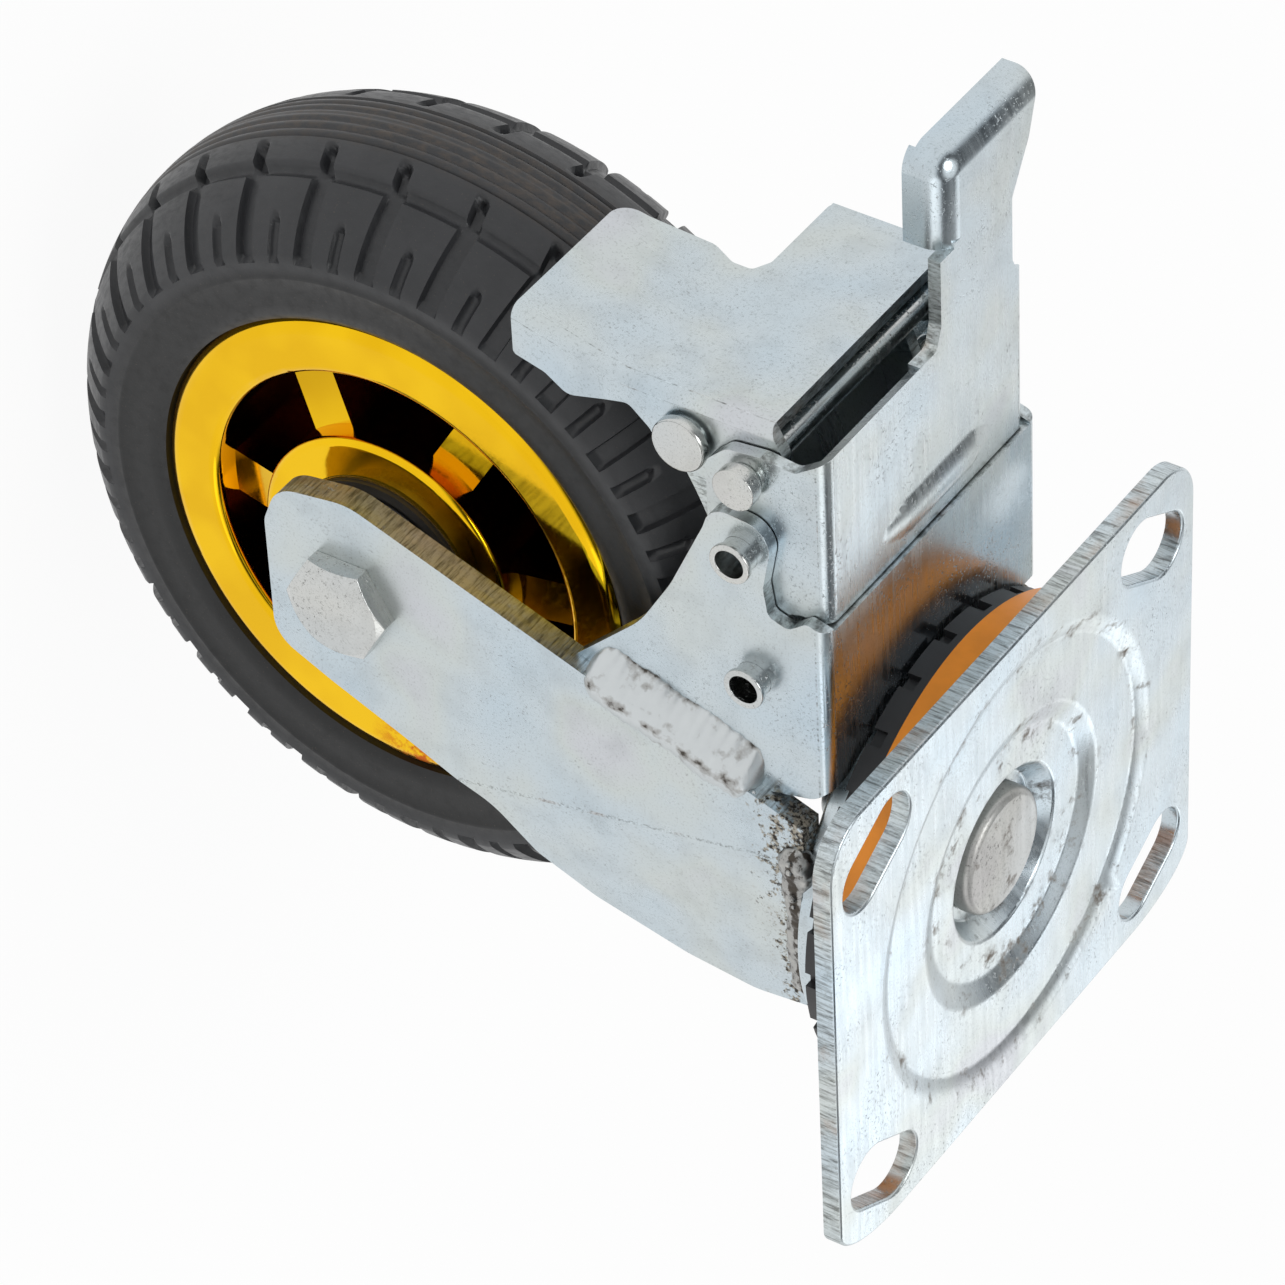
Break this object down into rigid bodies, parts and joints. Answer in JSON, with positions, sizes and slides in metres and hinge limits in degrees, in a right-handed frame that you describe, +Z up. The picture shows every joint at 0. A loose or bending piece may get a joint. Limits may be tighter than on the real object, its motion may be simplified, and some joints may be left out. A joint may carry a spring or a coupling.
{
  "type": "swivel castor with brake",
  "caption": "Swivel castor with a slotted top plate, zinc-plated fork, grooved rubber tyre on a gold rim and a foot brake with release lever.",
  "frame": {"origin": "centre of the top plate's mounting face, on the swivel axis", "axes": "+Z up out of the mounting face along the swivel axis, -X towards the trailing wheel and brake, +Y along the plate's long side"},
  "size_m": [0.187, 0.118, 0.1879],
  "materials": {
    "zinc": "bright zinc plating, pale blue-grey",
    "zinc_dark": "worn zinc plating",
    "steel": "ground bearing steel",
    "weld": "rough weld under plating",
    "gold": "gold-coloured chrome plating",
    "tyre": "dark grey rubber, slightly dusty",
    "orange": "moulded orange plastic",
    "black": "moulded black plastic"
  },
  "bodies": {
    "plate": {"top_plate": "zinc", "kingpin": "zinc_dark", "kingpin_collar": "zinc_dark", "kingpin_nut": "zinc_dark", "lower_cup": "zinc", "upper_race": "steel", "seal_ring": "orange", "lock_ring": "black"},
    "balls": {"upper_balls": "steel", "lower_balls": "steel"},
    "fork": {"crown": "zinc", "crown_race": "steel", "leg_near": "zinc", "leg_far": "zinc", "brake_bracket": "zinc", "bracket_weld_near": "weld", "bracket_weld_far": "weld", "crown_weld_near": "weld", "crown_weld_far": "weld", "axle_bolt": "zinc_dark", "axle_washer": "zinc_dark", "axle_nut": "zinc_dark", "axle_sleeve": "steel", "spacer_near": "zinc_dark", "spacer_far": "zinc_dark", "arm_rivet": "zinc_dark", "pedal_rivet_near": "zinc_dark", "pedal_rivet_far": "zinc_dark"},
    "wheel": {"rim": "gold", "hub": "gold", "wheel_web": "gold", "tyre": "tyre", "bearing_near": "steel", "bearing_far": "steel", "wheel_seal_near": "black", "wheel_seal_far": "black"},
    "pedal": {"pedal": "zinc", "cross_rod": "zinc_dark", "rod_bush_near": "zinc_dark", "rod_bush_far": "zinc_dark"},
    "lever": {"release_lever": "zinc", "lever_pin_near": "zinc_dark", "lever_pin_far": "zinc_dark"},
    "arm": {"brake_arm": "zinc"}
  },
  "joints": [
    {"name": "swivel", "type": "hinge", "parent": "plate", "child": "fork", "pos_m": [0, 0, 0], "axis": [0, 0, 1], "continuous": true},
    {"name": "ball_roll", "type": "hinge", "parent": "plate", "child": "balls", "pos_m": [0, 0, 0], "axis": [0, 0, 1], "continuous": true},
    {"name": "wheel_spin", "type": "hinge", "parent": "fork", "child": "wheel", "pos_m": [-0.036, 0, -0.1125], "axis": [0, 1, 0], "continuous": true},
    {"name": "pedal_tilt", "type": "hinge", "parent": "fork", "child": "pedal", "pos_m": [-0.0788, 0, -0.0324], "axis": [0, -1, 0], "range_deg": [0, 30]},
    {"name": "lever_swing", "type": "hinge", "parent": "pedal", "child": "lever", "pos_m": [-0.0927, 0, -0.0326], "axis": [0, -1, 0], "range_deg": [-39.5, 0]},
    {"name": "arm_press", "type": "hinge", "parent": "fork", "child": "arm", "pos_m": [-0.0526, 0, -0.0306], "axis": [0, -1, 0], "range_deg": [0, 7.65]}
  ],
  "couplings": [
    {"joint": "ball_roll", "follows": "swivel", "ratio": 0.5},
    {"joint": "lever_swing", "follows": "pedal_tilt", "ratio": -1.3},
    {"joint": "arm_press", "follows": "pedal_tilt", "ratio": 0.253}
  ]
}
